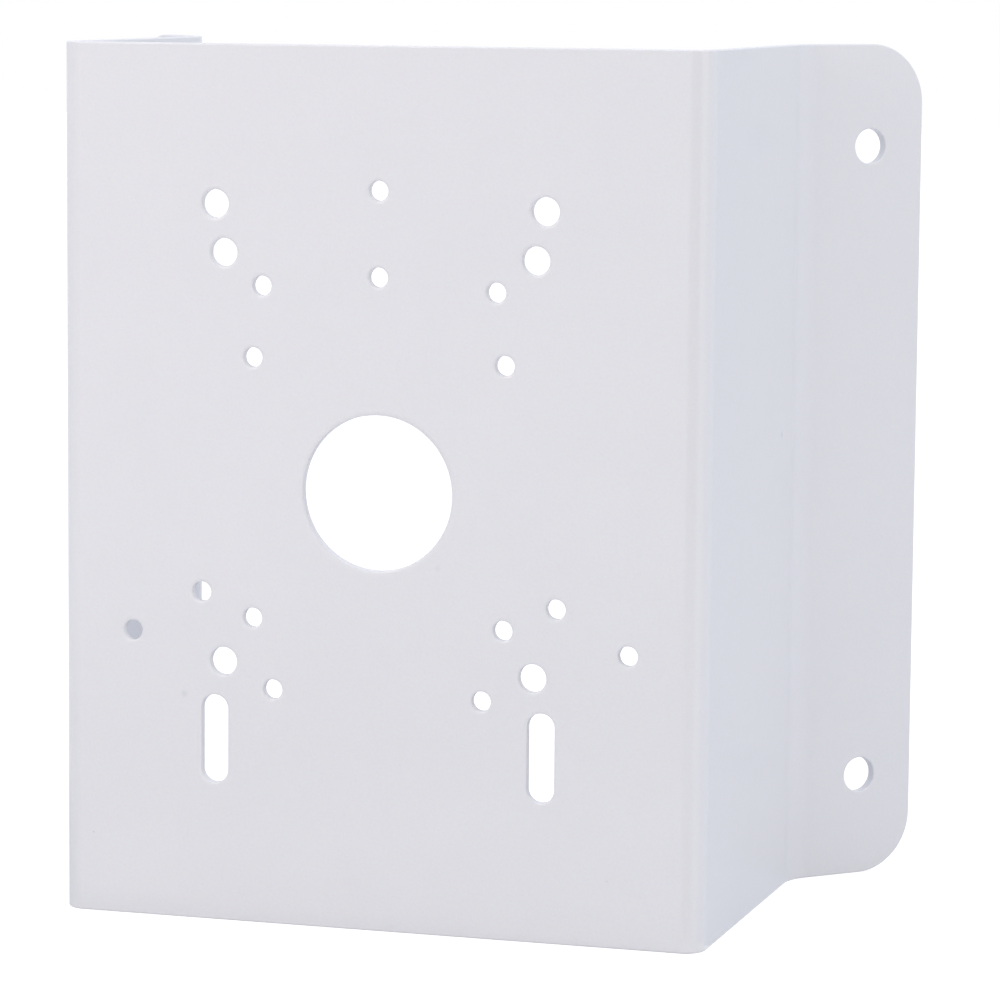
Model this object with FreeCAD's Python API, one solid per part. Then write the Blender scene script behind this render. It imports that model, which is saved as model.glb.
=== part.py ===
import FreeCAD, Part
import math
import os

# Corner mount bracket for a camera: one sheet of steel, punched and folded four times.
# Millimetres. The origin is the centre of the cable hole, on the camera plate's outer face.
# X runs along the plate, Y runs back towards the building's corner, and Z is up.

# The folded sheet
sheet = 3.0
height = 240.0
plate_width = 183.0  # over the outer faces of the two side walls
wall_depth = 104.0  # from the plate's outer face to where wall and flange would meet unrounded
flange_length = 40.6  # from there to the flange's end
flange_angle = 45.0  # the flange's turn away from the side wall, in degrees
plate_bend_radius = 3.0  # inside radius, beside the hollow
flange_bend_radius = 15.0  # inside radius, beside the outer faces
flange_corner_radius = 17.0
rim_radius = 0.5  # the cut edges all round the sheet, deburred and coated

# The hole for the cables in the middle of the plate
cable_hole_diameter = 42.3

# Small holes for the bases of cameras
base_hole_diameter = 5.5
wide_base_circle = 162.7  # three holes, the first above the cable hole
narrow_base_circle = 116.3  # three holes, the first above the cable hole
square_base_pitch = 71.2
tapered_base_top = 66.1
tapered_base_bottom = 59.4
tapered_base_height = 110.1

# Larger holes and slots for junction boxes and housings
box_hole_diameter = 7.8
box_pattern_width = 88.0
box_row_above = 63.8  # above the cable hole's centre
box_row_below = 48.0
housing_pattern_width = 93.0
housing_row_above = 76.9
slot_below_box_row = 21.6  # from the lower box row to the middle of the slot
slot_width = 7.75
slot_length = 24.5  # over both round ends

# Anchor holes in the flanges
anchor_hole_diameter = 10.0
anchor_from_end = 17.5  # hole's centre to the flange's end
anchor_from_edge = 29.0  # hole's centre to the top or bottom edge

quarter_turn = math.pi / 2
flange_turn = math.radians(flange_angle)
vertical = FreeCAD.Vector(0, 0, 1)
sideways = FreeCAD.Vector(1, 0, 0)
centre_point = FreeCAD.Vector(0, 0, 0)


def direction(heading):
    return FreeCAD.Vector(math.cos(heading), math.sin(heading), 0)


def turned(vector, angle):
    return FreeCAD.Rotation(vertical, math.degrees(angle)).multVec(vector)


def mirrored(shape):
    return shape.mirror(centre_point, sideways)


class SheetRun:
    """The sheet's section, followed along its outer face with the hollow on the left."""

    def __init__(self, start, heading):
        self.point = start
        self.heading = heading
        self.edges = []

    def to_back_face(self):
        return direction(self.heading + quarter_turn) * sheet

    def flat(self, length):
        end = self.point + direction(self.heading) * length
        across = self.to_back_face()
        self.edges.append(Part.makeLine(self.point, end))
        self.edges.append(Part.makeLine(self.point + across, end + across))
        self.point = end

    def fold(self, angle, to_axis):
        """Fold round an axis this far to the left of the outer face, or to its right if negative."""
        axis = self.point + direction(self.heading + quarter_turn) * to_axis
        for start in (self.point, self.point + self.to_back_face()):
            spoke = start - axis
            middle = axis + turned(spoke, angle / 2)
            end = axis + turned(spoke, angle)
            self.edges.append(Part.Arc(start, middle, end).toShape())
        self.point = axis + turned(self.point - axis, angle)
        self.heading += angle

    def end_cap(self):
        self.edges.append(Part.makeLine(self.point, self.point + self.to_back_face()))


def follow_half():
    """Half of the section: camera plate, fold, side wall, fold and flange."""
    plate_setback = plate_bend_radius + sheet
    flange_setback = flange_bend_radius * math.tan(flange_turn / 2)
    half = SheetRun(centre_point, 0)
    half.flat(plate_width / 2 - plate_setback)
    half.fold(quarter_turn, plate_bend_radius + sheet)
    half.flat(wall_depth - plate_setback - flange_setback)
    half.fold(-flange_turn, -flange_bend_radius)
    half.flat(flange_length - flange_setback)
    half.end_cap()
    return half


def folded_sheet(half):
    """The section drawn upwards, its flange corners rounded and the rims all round softened."""
    edges = half.edges + [mirrored(edge) for edge in half.edges]
    section = Part.Face(Part.Wire(Part.__sortEdges__(edges)))
    section.translate(vertical * (-height / 2))
    body = section.extrude(vertical * height).removeSplitter()
    corners = [edge for edge in body.Edges if abs(edge.Length - sheet) < 0.001]
    body = body.makeFillet(flange_corner_radius, corners)
    return body.makeFillet(rim_radius, sharp_edges(body))


def sharp_edges(body):
    """The edges where two faces meet at about a right angle."""
    sharp = []
    for edge in body.Edges:
        middle = edge.valueAt((edge.FirstParameter + edge.LastParameter) / 2)
        faces = body.ancestorsOfType(edge, Part.Face)
        normals = [face.normalAt(*face.Surface.parameter(middle)) for face in faces]
        if len(normals) == 2 and abs(normals[0].dot(normals[1])) < 0.5:
            sharp.append(edge)
    return sharp


def punch(outline, start, inward):
    """A tool with this outline, through the sheet and its own thickness past both faces."""
    outline.translate(start - inward * sheet)
    return Part.Face(outline).extrude(inward * (3 * sheet))


def round_punch(start, inward, diameter):
    circle = Part.Wire(Part.makeCircle(diameter / 2, centre_point, inward))
    return punch(circle, start, inward)


def slot_punch(x, z):
    """An upright slot with round ends."""
    radius = slot_width / 2
    reach = slot_length / 2 - radius
    right = sideways * radius
    up = vertical * reach
    tip = vertical * (reach + radius)
    outline = Part.Wire(
        [
            Part.Arc(right + up, tip, up - right).toShape(),
            Part.makeLine(up - right, -up - right),
            Part.Arc(-up - right, -tip, right - up).toShape(),
            Part.makeLine(right - up, right + up),
        ]
    )
    return punch(outline, FreeCAD.Vector(x, 0, z), FreeCAD.Vector(0, 1, 0))


def plate_holes(places, diameter):
    inward = FreeCAD.Vector(0, 1, 0)
    return [round_punch(FreeCAD.Vector(x, 0, z), inward, diameter) for x, z in places]


def row(width, z):
    return [(-width / 2, z), (width / 2, z)]


def circle_of_three(diameter):
    places = []
    for third in range(3):
        angle = quarter_turn + third * 2 * math.pi / 3
        places.append((diameter / 2 * math.cos(angle), diameter / 2 * math.sin(angle)))
    return places


def anchor_punches(half):
    """Two holes in the right flange and their mirror images in the left one."""
    inward = direction(half.heading + quarter_turn)
    on_flange = half.point - direction(half.heading) * anchor_from_end
    punches = []
    for side in (-1, 1):
        place = on_flange + vertical * (side * (height / 2 - anchor_from_edge))
        tool = round_punch(place, inward, anchor_hole_diameter)
        punches += [tool, mirrored(tool)]
    return punches


def all_punches(half):
    base_places = circle_of_three(wide_base_circle) + circle_of_three(narrow_base_circle)
    for side in (-1, 1):
        base_places += row(square_base_pitch, side * square_base_pitch / 2)
    base_places += row(tapered_base_top, tapered_base_height / 2)
    base_places += row(tapered_base_bottom, -tapered_base_height / 2)

    box_places = row(box_pattern_width, box_row_above)
    box_places += row(box_pattern_width, -box_row_below)
    box_places += row(housing_pattern_width, housing_row_above)

    punches = plate_holes([(0, 0)], cable_hole_diameter)
    punches += plate_holes(base_places, base_hole_diameter)
    punches += plate_holes(box_places, box_hole_diameter)
    slot_places = row(housing_pattern_width, -box_row_below - slot_below_box_row)
    punches += [slot_punch(x, z) for x, z in slot_places]
    return punches + anchor_punches(half)


half_section = follow_half()
bracket = folded_sheet(half_section).cut(all_punches(half_section))

os.makedirs("parts", exist_ok=True)
bracket.exportStep("parts/corner_bracket.step")
print("corner_bracket:", len(bracket.Solids), "solid,", round(bracket.Volume / 1000, 1), "cm3")
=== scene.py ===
import math

import bpy
from mathutils import Matrix, Vector


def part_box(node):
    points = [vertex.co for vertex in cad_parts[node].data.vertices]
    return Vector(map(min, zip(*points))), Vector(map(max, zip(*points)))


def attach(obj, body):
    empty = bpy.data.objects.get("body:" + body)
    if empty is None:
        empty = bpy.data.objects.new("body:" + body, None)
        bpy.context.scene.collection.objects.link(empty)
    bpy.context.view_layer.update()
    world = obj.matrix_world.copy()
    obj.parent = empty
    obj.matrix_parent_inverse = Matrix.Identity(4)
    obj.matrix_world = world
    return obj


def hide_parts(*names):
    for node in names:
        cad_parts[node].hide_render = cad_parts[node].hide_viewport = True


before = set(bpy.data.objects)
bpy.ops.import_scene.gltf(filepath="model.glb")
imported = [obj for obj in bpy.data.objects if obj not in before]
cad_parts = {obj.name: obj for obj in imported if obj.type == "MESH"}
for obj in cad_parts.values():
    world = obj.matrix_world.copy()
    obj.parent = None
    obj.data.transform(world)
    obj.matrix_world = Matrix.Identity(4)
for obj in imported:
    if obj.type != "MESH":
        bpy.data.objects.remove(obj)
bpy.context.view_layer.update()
bracketLow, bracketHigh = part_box("corner_bracket")
print("frame loaded")

mm = 0.001
quarterTurn = math.pi / 2


def addNode(tree, kind, inputs=None, **settings):
    # One node with its settings; an input is a value or the output that feeds it
    node = tree.nodes.new(kind)
    for name, value in settings.items():
        setattr(node, name, value)
    for key, value in (inputs or {}).items():
        if isinstance(value, bpy.types.NodeSocket):
            tree.links.new(value, node.inputs[key])
        else:
            node.inputs[key].default_value = value
    return node


def newTree(name, sockets):
    tree = bpy.data.node_groups.new(name, "GeometryNodeTree")
    for label, inOrOut, kind in sockets:
        tree.interface.new_socket(label, in_out=inOrOut, socket_type="NodeSocket" + kind)
    return tree, tree.nodes.new("NodeGroupInput").outputs, tree.nodes.new("NodeGroupOutput").inputs


def linearColour(hexText):
    shares = [int(hexText[i:i + 2], 16) / 255 for i in (0, 2, 4)]
    return tuple(s / 12.92 if s <= 0.04045 else ((s + 0.055) / 1.055) ** 2.4 for s in shares) + (1.0,)


# Material

coatLook = {
    "colour": "E6E5EA",
    "thin": "DEDEE4",  # where the coat lies a little thinner
    "nib": "C4C4CC",
    "mark": "D2D2DC",
    "thinShare": 0.12,  # how much of the thin coat's colour shows at most
    "grainShare": 0.14,
    "ior": 1.5,  # polyester
    "roughness": 0.2,
    "roughnessSpread": 0.03,  # either way, from patch to patch
    "orangePeel": 1.7,  # mm across one swelling of the cured coat
    "peelHeight": 0.1,  # mm
    "peelStrength": 0.1,
    "grain": 0.8,  # mm across one grain of melted powder, coarser than life so that it shows
    "grainHeight": 0.05,  # mm
    "grainStrength": 0.5,
    "patch": 26.0,  # mm across a patch of thinner coat
    "nibSpacing": 18.0,  # mm
    "nibRadius": 0.3,
    "markSpacing": 36.0,
    "markRadius": 1.7,
}


def scattered(tree, place, spacing, radius):
    # 1 at scattered points of the surface, fading to 0 at this radius; both in millimetres
    cells = addNode(tree, "ShaderNodeTexVoronoi", {"Vector": place, "Scale": 1000 / spacing})
    return addNode(tree, "ShaderNodeMapRange", {
        "Value": cells.outputs["Distance"],
        "From Min": radius / spacing,
        "From Max": 0.0,
    }, interpolation_type="SMOOTHSTEP").outputs[0]


def whitePowderCoat():
    # Polyester powder baked on steel: white and softly glossy, with a fine grain and a faint
    # orange peel from the melted powder, and here and there a dust nib or a faint mark
    look = coatLook
    material = bpy.data.materials.new("whitePowderCoat")
    material.use_nodes = True
    tree = material.node_tree
    shader = tree.nodes["Principled BSDF"]
    place = addNode(tree, "ShaderNodeTexCoord").outputs["Object"]

    patches = addNode(tree, "ShaderNodeTexNoise", {
        "Vector": place,
        "Scale": 1000 / look["patch"],
        "Detail": 3.0,
    })
    peel = addNode(tree, "ShaderNodeTexNoise", {
        "Vector": place,
        "Scale": 1000 / look["orangePeel"],
        "Detail": 2.0,
    })
    grain = addNode(tree, "ShaderNodeTexNoise", {
        "Vector": place,
        "Scale": 1000 / look["grain"],
        "Detail": 2.0,
    })

    # Each layer is laid over the colour so far, by a share between 0 and 1
    thinShare = addNode(tree, "ShaderNodeMapRange", {
        "Value": patches.outputs["Fac"],
        "From Min": 0.35,
        "From Max": 0.7,
        "To Max": look["thinShare"],
    }, interpolation_type="SMOOTHSTEP").outputs[0]
    grained = addNode(tree, "ShaderNodeMix", {
        "Factor": look["grainShare"],
        "A": linearColour(look["colour"]),
        "B": grain.outputs["Color"],
    }, data_type="RGBA", blend_type="OVERLAY")
    tone = grained.outputs["Result"]
    for share, layer in (
        (thinShare, "thin"),
        (scattered(tree, place, look["markSpacing"], look["markRadius"]), "mark"),
        (scattered(tree, place, look["nibSpacing"], look["nibRadius"]), "nib"),
    ):
        tone = addNode(tree, "ShaderNodeMix", {
            "Factor": share,
            "A": tone,
            "B": linearColour(look[layer]),
        }, data_type="RGBA").outputs["Result"]
    tree.links.new(tone, shader.inputs["Base Color"])

    peelBump = addNode(tree, "ShaderNodeBump", {
        "Height": peel.outputs["Fac"],
        "Strength": look["peelStrength"],
        "Distance": look["peelHeight"] * mm,
    })
    grainBump = addNode(tree, "ShaderNodeBump", {
        "Height": grain.outputs["Fac"],
        "Normal": peelBump.outputs[0],
        "Strength": look["grainStrength"],
        "Distance": look["grainHeight"] * mm,
    })
    tree.links.new(grainBump.outputs[0], shader.inputs["Normal"])
    satin = addNode(tree, "ShaderNodeMapRange", {
        "Value": patches.outputs["Fac"],
        "From Min": 0.3,
        "From Max": 0.7,
        "To Min": look["roughness"] - look["roughnessSpread"],
        "To Max": look["roughness"] + look["roughnessSpread"],
    })
    tree.links.new(satin.outputs[0], shader.inputs["Roughness"])
    shader.inputs["IOR"].default_value = look["ior"]
    return material


# The sheet as it is cut and folded, in millimetres; holes are placed from the cable hole's centre
bracketSizes = {
    "thickness": 3.0,
    "plateWidth": 183.0,  # over both side walls
    "wallDepth": 104.0,  # plate's face to where wall and flange would meet unrounded
    "flangeLength": 40.6,
    "flangeAngle": 45.0,
    "plateFoldRadius": 3.0,  # inside, beside the hollow
    "flangeFoldRadius": 15.0,  # inside, beside the outer faces
    "cornerRadius": 17.0,
    "rimRadius": 0.5,  # cut edges, deburred and rounded by the coat
    "cableRoll": 1.5,  # how far from a punched hole the plate's face starts to roll in
    "smallRoll": 1.1,
    "rollDepth": 0.3,
    "cableHole": 42.3,
    "baseHole": 5.5,
    "wideCircle": 162.7,
    "narrowCircle": 116.3,
    "squarePitch": 71.2,
    "taperedTop": 66.1,
    "taperedBottom": 59.4,
    "taperedHeight": 110.1,
    "boxHole": 7.8,
    "boxWidth": 88.0,
    "boxAbove": 63.8,
    "boxBelow": 48.0,
    "housingWidth": 93.0,
    "housingAbove": 76.9,
    "slotBelow": 69.6,
    "slotWidth": 7.75,
    "slotLength": 24.5,
    "anchorHole": 10.0,
    "anchorFromEnd": 17.5,
    "anchorFromEdge": 29.0,
    "foldSteps": 32,
    "cornerSteps": 16,
    "rimSteps": 6,
    "holeSides": 96,
    "seamGap": 0.02,  # points of neighbouring panels this near become one
    "rimGap": 0.005,  # and so do those where the rims meet the back
}


def flatLengths(size):
    # Lengths along the outer face of the unfolded sheet, from the middle outwards
    turn = math.radians(size["flangeAngle"])
    plateSetback = size["plateFoldRadius"] + size["thickness"]
    flangeSetback = size["flangeFoldRadius"] * math.tan(turn / 2)
    return {
        "Plate": size["plateWidth"] / 2 - plateSetback,
        "Plate fold": plateSetback * quarterTurn,
        "Wall": size["wallDepth"] - plateSetback - flangeSetback,
        "Flange fold": size["flangeFoldRadius"] * turn,
        "Flange": size["flangeLength"] - flangeSetback,
    }


def holePoints(size):
    # Each hole of the unfolded sheet: along, up, radius, half of a slot's straight run, and roll-in
    base, box, anchor = size["baseHole"] / 2, size["boxHole"] / 2, size["anchorHole"] / 2
    small, plain = size["smallRoll"], size["rimRadius"]
    holes = [(0, 0, size["cableHole"] / 2, 0, size["cableRoll"])]
    for circle in (size["wideCircle"], size["narrowCircle"]):
        for third in range(3):
            angle = quarterTurn + third * math.tau / 3
            holes.append((circle / 2 * math.cos(angle), circle / 2 * math.sin(angle), base, 0, small))
    pitch, tapered = size["squarePitch"] / 2, size["taperedHeight"] / 2
    slotRadius = size["slotWidth"] / 2
    slotRun = size["slotLength"] / 2 - slotRadius
    anchorAlong = sum(flatLengths(size).values()) - size["anchorFromEnd"]
    anchorUp = (bracketHigh.z - bracketLow.z) / mm / 2 - size["anchorFromEdge"]
    for side in (-1, 1):
        holes.append((side * pitch, pitch, base, 0, small))
        holes.append((side * pitch, -pitch, base, 0, small))
        holes.append((side * size["taperedTop"] / 2, tapered, base, 0, small))
        holes.append((side * size["taperedBottom"] / 2, -tapered, base, 0, small))
        holes.append((side * size["boxWidth"] / 2, size["boxAbove"], box, 0, small))
        holes.append((side * size["boxWidth"] / 2, -size["boxBelow"], box, 0, small))
        holes.append((side * size["housingWidth"] / 2, size["housingAbove"], box, 0, small))
        holes.append((side * size["housingWidth"] / 2, -size["slotBelow"], slotRadius, slotRun, small))
        holes.append((side * anchorAlong, anchorUp, anchor, 0, plain))
        holes.append((side * anchorAlong, -anchorUp, anchor, 0, plain))
    return holes


def foldTree():
    # Rolls what lies past a line down round an axis under the sheet, or up if the axis is above it
    tree, given, result = newTree("foldSheet", [
        ("Position", "OUTPUT", "Vector"),
        ("Position", "INPUT", "Vector"),
        ("Start", "INPUT", "Float"),
        ("End", "INPUT", "Float"),
        ("Angle", "INPUT", "Float"),
        ("Axis depth", "INPUT", "Float"),
    ])
    along = addNode(tree, "ShaderNodeSeparateXYZ", {0: given["Position"]}).outputs["X"]
    length = addNode(tree, "ShaderNodeMath", {0: given["End"], 1: given["Start"]}, operation="SUBTRACT")
    share = addNode(tree, "ShaderNodeMapRange", {
        "Value": along,
        "From Min": given["Start"],
        "From Max": given["End"],
    }).outputs[0]
    used = addNode(tree, "ShaderNodeMath", {0: share, 1: length.outputs[0]}, operation="MULTIPLY")
    turn = addNode(tree, "ShaderNodeMath", {0: share, 1: given["Angle"]}, operation="MULTIPLY")
    pull = addNode(tree, "ShaderNodeCombineXYZ", {"X": used.outputs[0]})
    drawnIn = addNode(tree, "ShaderNodeVectorMath", {
        0: given["Position"],
        1: pull.outputs[0],
    }, operation="SUBTRACT")
    below = addNode(tree, "ShaderNodeMath", {0: given["Axis depth"], 1: -1.0}, operation="MULTIPLY")
    axis = addNode(tree, "ShaderNodeCombineXYZ", {"X": given["Start"], "Z": below.outputs[0]})
    rolled = addNode(tree, "ShaderNodeVectorRotate", {
        "Vector": drawnIn.outputs[0],
        "Center": axis.outputs[0],
        "Angle": turn.outputs[0],
    }, rotation_type="Y_AXIS")
    tree.links.new(rolled.outputs[0], result["Position"])
    return tree


def rimTree():
    # Carries every open edge of the front skin over a rounded rim and down to the back face
    tree, given, result = newTree("roundRims", [
        ("Geometry", "OUTPUT", "Geometry"),
        ("Geometry", "INPUT", "Geometry"),
        ("Thickness", "INPUT", "Float"),
        ("Rim steps", "INPUT", "Int"),
    ])
    start = addNode(tree, "GeometryNodeStoreNamedAttribute", {
        "Geometry": given["Geometry"],
        "Name": "skinPlace",
    }, data_type="FLOAT_VECTOR", domain="POINT")
    here = addNode(tree, "GeometryNodeInputPosition").outputs[0]
    tree.links.new(here, start.inputs["Value"])
    doubled = addNode(tree, "ShaderNodeMath", {
        0: given["Rim steps"],
        1: 2.0,
        2: 1.0,
    }, operation="MULTIPLY_ADD").outputs[0]
    zone = addNode(tree, "GeometryNodeRepeatInput")
    zoneEnd = addNode(tree, "GeometryNodeRepeatOutput")
    zone.pair_with_output(zoneEnd)
    tree.links.new(doubled, zone.inputs["Iterations"])
    tree.links.new(start.outputs[0], zone.inputs["Geometry"])

    # How far round the rim this step stands, from the front face at 0 to the back face at pi
    step = addNode(tree, "ShaderNodeMath", {
        0: zone.outputs["Iteration"],
        1: 1.0,
    }, operation="ADD").outputs[0]
    firstRim = addNode(tree, "ShaderNodeMath", {
        0: step,
        1: given["Rim steps"],
    }, operation="MINIMUM").outputs[0]
    past = addNode(tree, "ShaderNodeMath", {
        0: zone.outputs["Iteration"],
        1: given["Rim steps"],
    }, operation="SUBTRACT").outputs[0]
    secondRim = addNode(tree, "ShaderNodeMath", {0: past, 1: 0.0}, operation="MAXIMUM").outputs[0]
    rimShare = addNode(tree, "ShaderNodeMath", {0: firstRim, 1: secondRim}, operation="ADD").outputs[0]
    quarters = addNode(tree, "ShaderNodeMath", {
        0: rimShare,
        1: given["Rim steps"],
    }, operation="DIVIDE").outputs[0]
    angle = addNode(tree, "ShaderNodeMath", {
        0: quarters,
        1: quarterTurn,
    }, operation="MULTIPLY").outputs[0]
    sine = addNode(tree, "ShaderNodeMath", {0: angle}, operation="SINE").outputs[0]
    cosine = addNode(tree, "ShaderNodeMath", {0: angle}, operation="COSINE").outputs[0]
    lift = addNode(tree, "ShaderNodeMath", {0: cosine, 1: 1.0}, operation="SUBTRACT").outputs[0]
    rimReach = addNode(tree, "GeometryNodeInputNamedAttribute", {
        "Name": "rimReach",
    }, data_type="FLOAT_VECTOR")
    depth = addNode(tree, "ShaderNodeSeparateXYZ", {0: rimReach.outputs[0]}).outputs["Z"]
    straight = addNode(tree, "ShaderNodeMath", {
        0: depth,
        1: -2.0,
        2: given["Thickness"],
    }, operation="MULTIPLY_ADD").outputs[0]
    pastFirst = addNode(tree, "ShaderNodeMath", {
        0: step,
        1: given["Rim steps"],
    }, operation="GREATER_THAN").outputs[0]
    drop = addNode(tree, "ShaderNodeMath", {0: pastFirst, 1: straight}, operation="MULTIPLY").outputs[0]
    height = addNode(tree, "ShaderNodeMath", {0: lift, 1: depth}, operation="MULTIPLY").outputs[0]
    level = addNode(tree, "ShaderNodeMath", {0: height, 1: drop}, operation="SUBTRACT").outputs[0]

    skinPlace = addNode(tree, "GeometryNodeInputNamedAttribute", {
        "Name": "skinPlace",
    }, data_type="FLOAT_VECTOR")
    flat = addNode(tree, "ShaderNodeCombineXYZ", {"X": sine, "Y": sine})
    down = addNode(tree, "ShaderNodeCombineXYZ", {"Z": level})
    shifted = addNode(tree, "ShaderNodeVectorMath", {
        0: rimReach.outputs[0],
        1: flat.outputs[0],
        2: skinPlace.outputs[0],
    }, operation="MULTIPLY_ADD")
    target = addNode(tree, "ShaderNodeVectorMath", {
        0: shifted.outputs[0],
        1: down.outputs[0],
    }, operation="ADD")
    faces = addNode(tree, "GeometryNodeInputMeshEdgeNeighbors").outputs[0]  # one at an open edge
    openEdge = addNode(tree, "ShaderNodeMath", {0: faces, 1: 1.5}, operation="LESS_THAN").outputs[0]
    strip = addNode(tree, "GeometryNodeExtrudeMesh", {
        "Mesh": zone.outputs["Geometry"],
        "Selection": openEdge,
        "Offset Scale": 0.0,
    }, mode="EDGES")
    laid = addNode(tree, "GeometryNodeSetPosition", {
        "Geometry": strip.outputs["Mesh"],
        "Selection": strip.outputs["Top"],
        "Position": target.outputs[0],
    })
    tree.links.new(laid.outputs[0], zoneEnd.inputs["Geometry"])
    tree.links.new(zoneEnd.outputs["Geometry"], result["Geometry"])
    return tree


def bracketTree():
    # Draws the flat sheet's front skin panel by panel, gives it rims and a back, and folds it
    tree, given, result = newTree("punchedFoldedSheet", [
        ("Geometry", "OUTPUT", "Geometry"),
        ("Hole centres", "INPUT", "Geometry"),
        ("Thickness", "INPUT", "Float"),
        ("Height", "INPUT", "Float"),
        ("Plate", "INPUT", "Float"),
        ("Plate fold", "INPUT", "Float"),
        ("Wall", "INPUT", "Float"),
        ("Flange fold", "INPUT", "Float"),
        ("Flange", "INPUT", "Float"),
        ("Flange angle", "INPUT", "Float"),
        ("Plate fold radius", "INPUT", "Float"),
        ("Flange fold radius", "INPUT", "Float"),
        ("Corner radius", "INPUT", "Float"),
        ("Rim radius", "INPUT", "Float"),
        ("Roll depth", "INPUT", "Float"),
        ("Fold steps", "INPUT", "Int"),
        ("Corner steps", "INPUT", "Int"),
        ("Rim steps", "INPUT", "Int"),
        ("Hole sides", "INPUT", "Int"),
        ("Seam gap", "INPUT", "Float"),
        ("Rim gap", "INPUT", "Float"),
        ("Coat", "INPUT", "Material"),
    ])
    rim = given["Rim radius"]
    here = addNode(tree, "GeometryNodeInputPosition").outputs[0]

    # Where each panel of the right half ends along the sheet
    ends = [given["Plate"]]
    for part in ("Plate fold", "Wall", "Flange fold", "Flange"):
        end = addNode(tree, "ShaderNodeMath", {0: ends[-1], 1: given[part]}, operation="ADD")
        ends.append(end.outputs[0])
    plateEnd, wallStart, wallEnd, flangeStart, sheetEnd = ends
    skinHeight = addNode(tree, "ShaderNodeMath", {
        0: rim,
        1: -2.0,
        2: given["Height"],
    }, operation="MULTIPLY_ADD").outputs[0]

    # Folds and walls need no holes, so they are plain strips
    stripFaces = addNode(tree, "ShaderNodeMath", {
        0: given["Fold steps"],
        1: 1.0,
    }, operation="ADD").outputs[0]
    strips = addNode(tree, "GeometryNodeJoinGeometry")
    for start, part, across in (
        (plateEnd, "Plate fold", stripFaces),
        (wallStart, "Wall", 2),
        (wallEnd, "Flange fold", stripFaces),
    ):
        panel = addNode(tree, "GeometryNodeMeshGrid", {
            "Size X": given[part],
            "Size Y": skinHeight,
            "Vertices X": across,
            "Vertices Y": 2,
        })
        middle = addNode(tree, "ShaderNodeMath", {
            0: given[part],
            1: 0.5,
            2: start,
        }, operation="MULTIPLY_ADD")
        shift = addNode(tree, "ShaderNodeCombineXYZ", {"X": middle.outputs[0]})
        placed = addNode(tree, "GeometryNodeTransform", {
            "Geometry": panel.outputs["Mesh"],
            "Translation": shift.outputs[0],
        })
        tree.links.new(placed.outputs[0], strips.inputs[0])

    # Hole outlines: a circle on each centre, pulled apart into a slot where the centre asks for it
    unitCircle = addNode(tree, "GeometryNodeCurvePrimitiveCircle", {
        "Resolution": given["Hole sides"],
        "Radius": 1.0,
    }, mode="RADIUS")
    halfStep = addNode(tree, "ShaderNodeMath", {0: math.pi, 1: given["Hole sides"]}, operation="DIVIDE")
    evenTurn = addNode(tree, "ShaderNodeCombineXYZ", {"Z": halfStep.outputs[0]})
    circle = addNode(tree, "GeometryNodeTransform", {
        "Geometry": unitCircle.outputs["Curve"],
        "Rotation": evenTurn.outputs[0],
    })
    centres = addNode(tree, "GeometryNodeStoreNamedAttribute", {
        "Geometry": given["Hole centres"],
        "Name": "holeCentre",
        "Value": here,
    }, data_type="FLOAT_VECTOR", domain="POINT")
    radius = addNode(tree, "GeometryNodeInputNamedAttribute", {"Name": "holeRadius"}, data_type="FLOAT")
    roll = addNode(tree, "GeometryNodeInputNamedAttribute", {"Name": "roll"}, data_type="FLOAT")
    skinRadius = addNode(tree, "ShaderNodeMath", {
        0: radius.outputs[0],
        1: roll.outputs[0],
    }, operation="ADD")
    copies = addNode(tree, "GeometryNodeInstanceOnPoints", {
        "Points": centres.outputs[0],
        "Instance": circle.outputs[0],
        "Scale": skinRadius.outputs[0],
    })
    outlines = addNode(tree, "GeometryNodeRealizeInstances", {"Geometry": copies.outputs[0]})
    centre = addNode(tree, "GeometryNodeInputNamedAttribute", {
        "Name": "holeCentre",
    }, data_type="FLOAT_VECTOR")
    inwards = addNode(tree, "ShaderNodeVectorMath", {
        0: centre.outputs[0],
        1: here,
    }, operation="SUBTRACT").outputs[0]
    inwardWay = addNode(tree, "ShaderNodeVectorMath", {0: inwards}, operation="NORMALIZE")
    rollDown = addNode(tree, "ShaderNodeCombineXYZ", {"Z": given["Roll depth"]})
    rimReach = addNode(tree, "ShaderNodeVectorMath", {
        0: inwardWay.outputs[0],
        1: roll.outputs[0],
        2: rollDown.outputs[0],
    }, operation="MULTIPLY_ADD")
    marked = addNode(tree, "GeometryNodeStoreNamedAttribute", {
        "Geometry": outlines.outputs[0],
        "Name": "rimReach",
        "Value": rimReach.outputs[0],
    }, data_type="FLOAT_VECTOR", domain="POINT")
    slotRun = addNode(tree, "GeometryNodeInputNamedAttribute", {"Name": "slotRun"}, data_type="FLOAT")
    towards = addNode(tree, "ShaderNodeVectorMath", {0: inwards}, operation="SIGN")
    upOrDown = addNode(tree, "ShaderNodeSeparateXYZ", {0: towards.outputs[0]}).outputs["Y"]
    run = addNode(tree, "ShaderNodeMath", {
        0: slotRun.outputs[0],
        1: -1.0,
    }, operation="MULTIPLY").outputs[0]
    pulled = addNode(tree, "ShaderNodeMath", {0: upOrDown, 1: run}, operation="MULTIPLY").outputs[0]
    pull = addNode(tree, "ShaderNodeCombineXYZ", {"Y": pulled})
    holes = addNode(tree, "GeometryNodeSetPosition", {
        "Geometry": marked.outputs[0],
        "Offset": pull.outputs[0],
    })

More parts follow.
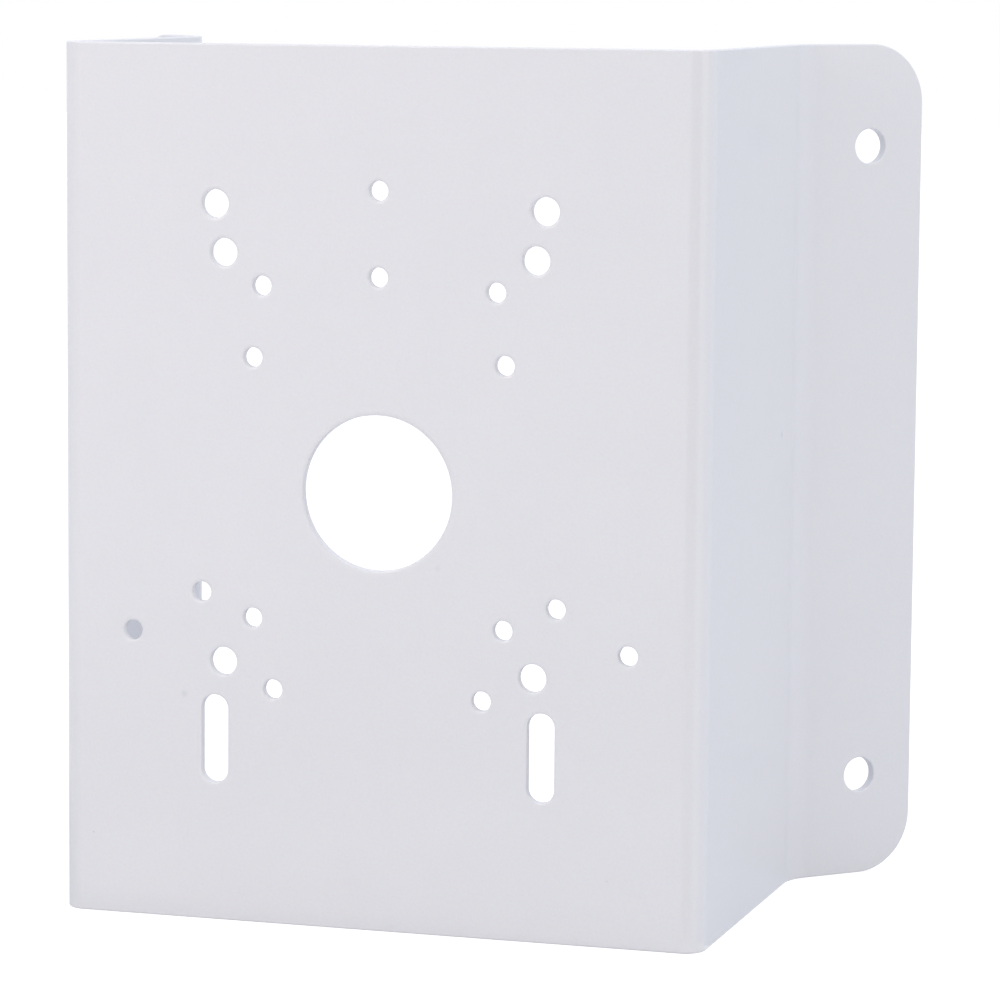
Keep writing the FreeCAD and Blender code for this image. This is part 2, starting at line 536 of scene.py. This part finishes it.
    # Outlines of the camera plate and of the two flanges, filled round the holes
    plateWidth = addNode(tree, "ShaderNodeMath", {0: plateEnd, 1: 2.0}, operation="MULTIPLY").outputs[0]
    plate = addNode(tree, "GeometryNodeCurvePrimitiveQuadrilateral", {
        "Width": plateWidth,
        "Height": skinHeight,
    })
    flangeSkin = addNode(tree, "ShaderNodeMath", {
        0: given["Flange"],
        1: rim,
    }, operation="SUBTRACT").outputs[0]
    blank = addNode(tree, "GeometryNodeCurvePrimitiveQuadrilateral", {
        "Width": flangeSkin,
        "Height": skinHeight,
    })
    sideways = addNode(tree, "ShaderNodeSeparateXYZ", {0: here}).outputs["X"]
    outerCorner = addNode(tree, "ShaderNodeMath", {
        0: sideways,
        1: 0.0,
    }, operation="GREATER_THAN").outputs[0]
    skinCorner = addNode(tree, "ShaderNodeMath", {
        0: given["Corner radius"],
        1: rim,
    }, operation="SUBTRACT").outputs[0]
    cornerRadius = addNode(tree, "ShaderNodeMath", {
        0: outerCorner,
        1: skinCorner,
    }, operation="MULTIPLY").outputs[0]
    rounded = addNode(tree, "GeometryNodeFilletCurve", {
        "Curve": blank.outputs[0],
        "Radius": cornerRadius,
        "Count": given["Corner steps"],
    }, mode="POLY")
    flangeMiddle = addNode(tree, "ShaderNodeMath", {
        0: flangeSkin,
        1: 0.5,
        2: flangeStart,
    }, operation="MULTIPLY_ADD").outputs[0]
    flangeShift = addNode(tree, "ShaderNodeCombineXYZ", {"X": flangeMiddle})
    flange = addNode(tree, "GeometryNodeTransform", {
        "Geometry": rounded.outputs[0],
        "Translation": flangeShift.outputs[0],
    })
    otherFlange = addNode(tree, "GeometryNodeTransform", {
        "Geometry": flange.outputs[0],
        "Rotation": (0.0, 0.0, math.pi),
    })
    allOutlines = addNode(tree, "GeometryNodeJoinGeometry")
    for curve in (plate, flange, otherFlange, holes):
        tree.links.new(curve.outputs[0], allOutlines.inputs[0])
    filled = addNode(tree, "GeometryNodeFillCurve", {"Curve": allOutlines.outputs[0]}, mode="TRIANGLES")

    # The whole front skin, with how far and which way each point of its outline rounds over
    otherStrips = addNode(tree, "GeometryNodeTransform", {
        "Geometry": strips.outputs[0],
        "Rotation": (0.0, 0.0, math.pi),
    })
    panels = addNode(tree, "GeometryNodeJoinGeometry")
    for part in (filled, strips, otherStrips):
        tree.links.new(part.outputs[0], panels.inputs[0])
    skin = addNode(tree, "GeometryNodeMergeByDistance", {
        "Geometry": panels.outputs[0],
        "Distance": given["Seam gap"],
    })
    halfHeight = addNode(tree, "ShaderNodeMath", {
        0: given["Height"],
        1: 0.5,
    }, operation="MULTIPLY").outputs[0]
    sheetCorner = addNode(tree, "ShaderNodeCombineXYZ", {"X": sheetEnd, "Y": halfHeight}).outputs[0]
    cornerInset = addNode(tree, "ShaderNodeCombineXYZ", {
        "X": given["Corner radius"],
        "Y": given["Corner radius"],
    }).outputs[0]
    cornerCentre = addNode(tree, "ShaderNodeVectorMath", {
        0: sheetCorner,
        1: cornerInset,
    }, operation="SUBTRACT")
    quarter = addNode(tree, "ShaderNodeVectorMath", {0: here}, operation="ABSOLUTE")
    fromCorner = addNode(tree, "ShaderNodeVectorMath", {
        0: quarter.outputs[0],
        1: cornerCentre.outputs[0],
    }, operation="SUBTRACT")
    beyond = addNode(tree, "ShaderNodeVectorMath", {
        0: fromCorner.outputs[0],
        1: (0.0, 0.0, 0.0),
    }, operation="MAXIMUM").outputs[0]
    beyondLength = addNode(tree, "ShaderNodeVectorMath", {
        0: beyond,
    }, operation="LENGTH").outputs["Value"]
    nearEdge = addNode(tree, "ShaderNodeMath", {
        0: rim,
        1: -2.0,
        2: given["Corner radius"],
    }, operation="MULTIPLY_ADD").outputs[0]
    onOutline = addNode(tree, "ShaderNodeMath", {
        0: beyondLength,
        1: nearEdge,
    }, operation="GREATER_THAN").outputs[0]
    unit = addNode(tree, "ShaderNodeVectorMath", {0: beyond}, operation="NORMALIZE")
    sides = addNode(tree, "ShaderNodeVectorMath", {0: here}, operation="SIGN")
    outwardWay = addNode(tree, "ShaderNodeVectorMath", {
        0: unit.outputs[0],
        1: sides.outputs[0],
    }, operation="MULTIPLY")
    rimDown = addNode(tree, "ShaderNodeCombineXYZ", {"Z": rim})
    outlineReach = addNode(tree, "ShaderNodeVectorMath", {
        0: outwardWay.outputs[0],
        1: rim,
        2: rimDown.outputs[0],
    }, operation="MULTIPLY_ADD")
    # Sampling needs the points of a mesh
    holeMesh = addNode(tree, "GeometryNodeCurveToMesh", {"Curve": holes.outputs[0]})
    nearest = addNode(tree, "GeometryNodeSampleNearest", {
        "Geometry": holeMesh.outputs[0],
    }, domain="POINT")
    storedReach = addNode(tree, "GeometryNodeInputNamedAttribute", {
        "Name": "rimReach",
    }, data_type="FLOAT_VECTOR")
    holeReach = addNode(tree, "GeometryNodeSampleIndex", {
        "Geometry": holeMesh.outputs[0],
        "Value": storedReach.outputs[0],
        "Index": nearest.outputs[0],
    }, data_type="FLOAT_VECTOR", domain="POINT")
    reach = addNode(tree, "GeometryNodeSwitch", {
        "Switch": onOutline,
        "False": holeReach.outputs[0],
        "True": outlineReach.outputs[0],
    }, input_type="VECTOR")
    ready = addNode(tree, "GeometryNodeStoreNamedAttribute", {
        "Geometry": skin.outputs[0],
        "Name": "rimReach",
        "Value": reach.outputs[0],
    }, data_type="FLOAT_VECTOR", domain="POINT")

    # Rims all round, and the same skin again as the back face
    rims = addNode(tree, "GeometryNodeGroup", node_tree=rimTree())
    for name in ("Thickness", "Rim steps"):
        tree.links.new(given[name], rims.inputs[name])
    tree.links.new(ready.outputs[0], rims.inputs["Geometry"])
    under = addNode(tree, "ShaderNodeMath", {
        0: given["Thickness"],
        1: -1.0,
    }, operation="MULTIPLY").outputs[0]
    underShift = addNode(tree, "ShaderNodeCombineXYZ", {"Z": under})
    backSkin = addNode(tree, "GeometryNodeTransform", {
        "Geometry": ready.outputs[0],
        "Translation": underShift.outputs[0],
    })
    backTurned = addNode(tree, "GeometryNodeFlipFaces", {"Mesh": backSkin.outputs[0]})
    shell = addNode(tree, "GeometryNodeJoinGeometry")
    for part in (rims, backTurned):
        tree.links.new(part.outputs[0], shell.inputs[0])
    closed = addNode(tree, "GeometryNodeMergeByDistance", {
        "Geometry": shell.outputs[0],
        "Distance": given["Rim gap"],
    })

    # Both halves fold alike: the flange first, then the side wall with the flange on it
    place = addNode(tree, "ShaderNodeSeparateXYZ", {0: here})
    distance = addNode(tree, "ShaderNodeMath", {0: place.outputs["X"]}, operation="ABSOLUTE").outputs[0]
    side = addNode(tree, "ShaderNodeMath", {0: place.outputs["X"]}, operation="SIGN").outputs[0]
    rightHalf = addNode(tree, "ShaderNodeCombineXYZ", {
        "X": distance,
        "Y": place.outputs["Y"],
        "Z": place.outputs["Z"],
    }).outputs[0]
    foldSheet = foldTree()
    upwards = addNode(tree, "ShaderNodeMath", {
        0: given["Flange angle"],
        1: -1.0,
    }, operation="MULTIPLY").outputs[0]
    above = addNode(tree, "ShaderNodeMath", {
        0: given["Flange fold radius"],
        1: -1.0,
    }, operation="MULTIPLY").outputs[0]
    flangeFolded = addNode(tree, "GeometryNodeGroup", {
        "Position": rightHalf,
        "Start": wallEnd,
        "End": flangeStart,
        "Angle": upwards,
        "Axis depth": above,
    }, node_tree=foldSheet)
    plateAxis = addNode(tree, "ShaderNodeMath", {
        0: given["Plate fold radius"],
        1: given["Thickness"],
    }, operation="ADD").outputs[0]
    wallFolded = addNode(tree, "GeometryNodeGroup", {
        "Position": flangeFolded.outputs[0],
        "Start": plateEnd,
        "End": wallStart,
        "Angle": quarterTurn,
        "Axis depth": plateAxis,
    }, node_tree=foldSheet)
    bothSides = addNode(tree, "ShaderNodeCombineXYZ", {"X": side, "Y": 1.0, "Z": 1.0})
    foldedPlace = addNode(tree, "ShaderNodeVectorMath", {
        0: wallFolded.outputs[0],
        1: bothSides.outputs[0],
    }, operation="MULTIPLY")
    folded = addNode(tree, "GeometryNodeSetPosition", {
        "Geometry": closed.outputs[0],
        "Position": foldedPlace.outputs[0],
    })

    # The face that lay up now faces the front
    stood = addNode(tree, "GeometryNodeTransform", {
        "Geometry": folded.outputs[0],
        "Rotation": (quarterTurn, 0.0, 0.0),
        "Scale": (mm, mm, mm),
    })
    smooth = addNode(tree, "GeometryNodeSetShadeSmooth", {"Geometry": stood.outputs[0]})
    whole = addNode(tree, "GeometryNodeRealizeInstances", {"Geometry": smooth.outputs[0]})
    coated = addNode(tree, "GeometryNodeSetMaterial", {
        "Geometry": whole.outputs[0],
        "Material": given["Coat"],
    })
    tree.links.new(coated.outputs[0], result["Geometry"])
    return tree


def makeBracket(coat):
    size = bracketSizes
    points = [((along, up, 0), *rest) for along, up, *rest in holePoints(size)]
    places, radii, runs, rolls = zip(*points)
    mesh = bpy.data.meshes.new("holeCentres")
    mesh.from_pydata(places, [], [])
    for name, amounts in (("holeRadius", radii), ("slotRun", runs), ("roll", rolls)):
        mesh.attributes.new(name, "FLOAT", "POINT").data.foreach_set("value", amounts)
    pattern = bpy.data.objects.new("holeCentres", mesh)
    bpy.context.scene.collection.objects.link(pattern)

    values = flatLengths(size)
    values.update({
        "Thickness": size["thickness"],
        "Height": (bracketHigh.z - bracketLow.z) / mm,
        "Flange angle": math.radians(size["flangeAngle"]),
        "Plate fold radius": size["plateFoldRadius"],
        "Flange fold radius": size["flangeFoldRadius"],
        "Corner radius": size["cornerRadius"],
        "Rim radius": size["rimRadius"],
        "Roll depth": size["rollDepth"],
        "Fold steps": size["foldSteps"],
        "Corner steps": size["cornerSteps"],
        "Rim steps": size["rimSteps"],
        "Hole sides": size["holeSides"],
        "Seam gap": size["seamGap"],
        "Rim gap": size["rimGap"],
        "Coat": coat,
    })
    sheet = pattern.modifiers.new("punchedFoldedSheet", "NODES")
    sheet.node_group = bracketTree()
    for item in sheet.node_group.interface.items_tree:
        if item.in_out == "INPUT" and item.name in values:
            sheet[item.identifier] = values[item.name]
    # Keeps the flat panels flat beside their rims
    flats = pattern.modifiers.new("flatFaces", "WEIGHTED_NORMAL")
    flats.mode = "FACE_AREA"
    flats.weight = 100  # the largest face sets the direction

    made = pattern.evaluated_get(bpy.context.evaluated_depsgraph_get())
    finished = bpy.data.meshes.new_from_object(made)
    bpy.data.objects.remove(pattern)
    finished.materials.clear()  # the filled outlines bring an empty slot with them
    finished.materials.append(coat)
    finished.polygons.foreach_set("material_index", [0] * len(finished.polygons))
    bracket = bpy.data.objects.new("foldedBracket", finished)
    bpy.context.scene.collection.objects.link(bracket)
    return bracket


bracket = makeBracket(whitePowderCoat())
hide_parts("corner_bracket")
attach(bracket, "root")
print("bracket folded:", len(bracket.data.polygons), "faces")


# Studio

studioSettings = {
    "floorSize": 12.0,  # m across
    "floorColour": "D6D6DA",
    "floorShown": "A8A8AC",  # to the camera, before the glow is added
    "floorGlow": 0.8,  # makes it white to the camera, and its shadow still shows
    "worldColour": "F9FEFF",
    "worldStrength": 0.83,
}


def seenAsWhite(tree):
    # 1 for the rays that should meet a white background: the camera's, and those seen in gloss or glass
    rays = addNode(tree, "ShaderNodeLightPath").outputs
    either = addNode(tree, "ShaderNodeMath", {
        0: rays["Is Camera Ray"],
        1: rays["Is Glossy Ray"],
    }, operation="MAXIMUM").outputs[0]
    return addNode(tree, "ShaderNodeMath", {
        0: either,
        1: rays["Is Transmission Ray"],
    }, operation="MAXIMUM").outputs[0]


def studioFloor():
    # Matt white paper: the camera sees it as white, and the bracket's shadow stays on it
    look = studioSettings
    material = bpy.data.materials.new("mattPaper")
    material.use_nodes = True
    tree = material.node_tree
    tree.nodes.clear()
    plain = addNode(tree, "ShaderNodeBsdfDiffuse", {"Color": linearColour(look["floorColour"])})
    shaded = addNode(tree, "ShaderNodeBsdfDiffuse", {"Color": linearColour(look["floorShown"])})
    glow = addNode(tree, "ShaderNodeEmission", {"Strength": look["floorGlow"]})
    bright = addNode(tree, "ShaderNodeAddShader", {0: shaded.outputs[0], 1: glow.outputs[0]})
    paper = addNode(tree, "ShaderNodeMixShader", {
        0: seenAsWhite(tree),
        1: plain.outputs[0],
        2: bright.outputs[0],
    })
    addNode(tree, "ShaderNodeOutputMaterial", {"Surface": paper.outputs[0]})

    half = look["floorSize"] / 2
    mesh = bpy.data.meshes.new("studioFloor")
    corners = [(-half, -half), (half, -half), (half, half), (-half, half)]
    mesh.from_pydata([(x, y, bracketLow.z) for x, y in corners], [], [(0, 1, 2, 3)])
    mesh.materials.append(material)
    floor = bpy.data.objects.new("studioFloor", mesh)
    bpy.context.scene.collection.objects.link(floor)
    return floor


def studioWorld():
    look = studioSettings
    world = bpy.data.worlds.new("softStudio")
    world.use_nodes = True
    tree = world.node_tree
    tree.nodes.clear()
    soft = addNode(tree, "ShaderNodeBackground", {
        "Color": linearColour(look["worldColour"]),
        "Strength": look["worldStrength"],
    })
    white = addNode(tree, "ShaderNodeBackground", {"Color": (1.0, 1.0, 1.0, 1.0), "Strength": 1.0})
    mixed = addNode(tree, "ShaderNodeMixShader", {
        0: seenAsWhite(tree),
        1: soft.outputs[0],
        2: white.outputs[0],
    })
    addNode(tree, "ShaderNodeOutputWorld", {"Surface": mixed.outputs[0]})
    bpy.context.scene.world = world


# Softboxes, in metres and watts
softboxes = {
    "leftNear": {
        "place": (-0.36, -0.6, 0.36),
        "aim": (0.0, 0.0, 0.02),
        "width": 0.36,
        "height": 0.36,
        "power": 1.05,
        "colour": "FFF1E3",
    },
    "right": {
        "place": (3.7, -2.05, 1.4),
        "aim": (0.09, 0.05, 0.0),
        "width": 2.4,
        "height": 2.4,
        "power": 30.4,
        "colour": "FFF2E2",
    },
    "rightBehind": {
        "place": (1.2, 0.9, 0.2),
        "aim": (0.0, 0.05, 0.0),
        "width": 0.8,
        "height": 0.6,
        "power": 1.2,
        "colour": "BBE3FF",
    },
    "above": {
        "place": (0.0, 0.05, 1.5),
        "aim": (0.0, 0.05, 0.0),
        "width": 1.0,
        "height": 1.0,
        "power": 4.7,
        "colour": "DEDEFF",
    },
}


def addSoftboxes():
    for name, box in softboxes.items():
        lamp = bpy.data.lights.new(name, "AREA")
        lamp.shape = "RECTANGLE"
        lamp.size = box["width"]
        lamp.size_y = box["height"]
        lamp.energy = box["power"]
        lamp.color = linearColour(box["colour"])[:3]
        holder = bpy.data.objects.new(name, lamp)
        holder.location = box["place"]
        facing = Vector(box["aim"]) - Vector(box["place"])
        holder.rotation_euler = facing.to_track_quat("-Z", "Y").to_euler()
        holder.visible_camera = False
        bpy.context.scene.collection.objects.link(holder)


# Painted reflections: cards that glow though they are no lamps, and that only the coat's gloss sees.
# They paint the dark room beside the camera, the duller floor in front of the plate, and a pale sweep
# behind the bracket, duller where the side wall mirrors it past the flange. Each card is a profile, in
# metres out and up from the foot of the right fold, turned through an arc in degrees right of straight
# ahead
paintedReflectionCards = {
    # Painted reflection of shade: a dark card beside the camera, which the right fold mirrors as a dark
    # band
    "darkRoomReflection": {
        "from": -8.0,
        "to": 46.0,
        "profile": ((0.7, 0.0), (0.7, 1.3)),
        "colour": "616161",
    },
    # Painted reflection of shade: a dim floor below the dark card
    "roomFloorReflection": {
        "from": -8.0,
        "to": 46.0,
        "profile": ((0.01, 0.0), (0.7, 0.0)),
        "colour": "C4C4C4",
    },
    # Painted reflection of shade: a duller floor in front of the plate
    "nearFloorReflection": {
        "from": -100.0,
        "to": -8.0,
        "profile": ((0.24, 0.0), (0.65, 0.0)),
        "colour": "E1E1E1",
    },
    # Painted reflection: a pale sweep behind the bracket
    "paleSweepReflection": {
        "from": 84.0,
        "to": 150.0,
        "profile": ((0.01, 0.0), (0.9, 0.0), (0.9, 1.3)),
        "colour": "E4E8F7",
    },
    # Painted reflection of shade: the sweep duller where the side wall mirrors it past the flange
    "shadedSweepReflection": {
        "from": 150.0,
        "to": 170.0,
        "profile": ((0.01, 0.0), (0.9, 0.0), (0.9, 1.3)),
        "colour": "D2D6E2",
    },
    # Painted reflection of shade: the floor behind, duller where the side wall mirrors it
    "shadedFloorReflection": {
        "from": 170.0,
        "to": 276.0,
        "profile": ((0.01, 0.0), (0.35, 0.0)),
        "colour": "D2D6E2",
    },
    # Painted reflection: the far sweep behind the bracket, brighter
    "farSweepReflection": {
        "from": 170.0,
        "to": 276.0,
        "profile": ((0.35, 0.0), (0.9, 0.0), (0.9, 1.3)),
        "colour": "F6F8FF",
    },
}
cardSteps = 24  # pieces of each arc
cardLift = 0.5 * mm  # above the floor


def paintedReflectionCard(name):
    look = paintedReflectionCards[name]
    foot = Vector((bracketSizes["plateWidth"] / 2 * mm, 0.0, bracketLow.z + cardLift))
    steps = cardSteps
    points = []
    for out, up in look["profile"]:
        for i in range(steps + 1):
            turn = math.radians(look["from"] + (look["to"] - look["from"]) * i / steps)
            points.append(foot + Vector((out * math.sin(turn), -out * math.cos(turn), up)))
    faces = []
    for row in range(len(look["profile"]) - 1):
        for i in range(row * (steps + 1), row * (steps + 1) + steps):
            faces.append((i, i + 1, i + steps + 2, i + steps + 1))
    mesh = bpy.data.meshes.new(name)
    mesh.from_pydata(points, [], faces)
    material = bpy.data.materials.new(name)
    material.use_nodes = True
    tree = material.node_tree
    tree.nodes.clear()
    # A painted reflection: the card glows though it is no lamp, and only gloss sees it
    glow = addNode(tree, "ShaderNodeEmission", {"Color": linearColour(look["colour"]), "Strength": 1.0})
    addNode(tree, "ShaderNodeOutputMaterial", {"Surface": glow.outputs[0]})
    mesh.materials.append(material)
    card = bpy.data.objects.new(name, mesh)
    for ray in ("camera", "diffuse", "transmission", "volume_scatter", "shadow"):
        setattr(card, "visible_" + ray, False)
    bpy.context.scene.collection.objects.link(card)
    return card


# The photograph's camera: a long lens, a little above the plate's middle and to its right
cameraSettings = {
    "place": (0.373426, -1.117260, 0.141782),
    "heading": 16.8679,  # degrees, turned left from straight at the plate
    "downward": 6.9348,
    "tilt": 0.4828,
    "lens": 158.677,  # mm
    "sensor": 36.0,  # mm across
    "nearest": 0.05,  # m
    "farthest": 50.0,
}


def addCamera():
    view = cameraSettings
    data = bpy.data.cameras.new("photoCamera")
    data.sensor_width = view["sensor"]
    data.lens = view["lens"]
    data.clip_start = view["nearest"]
    data.clip_end = view["farthest"]
    camera = bpy.data.objects.new("photoCamera", data)
    heading = Matrix.Rotation(math.radians(view["heading"]), 4, "Z")
    pitch = Matrix.Rotation(quarterTurn - math.radians(view["downward"]), 4, "X")
    tilt = Matrix.Rotation(math.radians(view["tilt"]), 4, "Z")
    camera.matrix_world = Matrix.Translation(view["place"]) @ heading @ pitch @ tilt
    bpy.context.scene.collection.objects.link(camera)
    bpy.context.scene.camera = camera


studioFloor()
# Painted reflections, which only the coat's gloss sees
[paintedReflectionCard(name) for name in paintedReflectionCards]
studioWorld()
addSoftboxes()
addCamera()
bpy.context.scene.view_settings.view_transform = "Standard"
print("studio set")
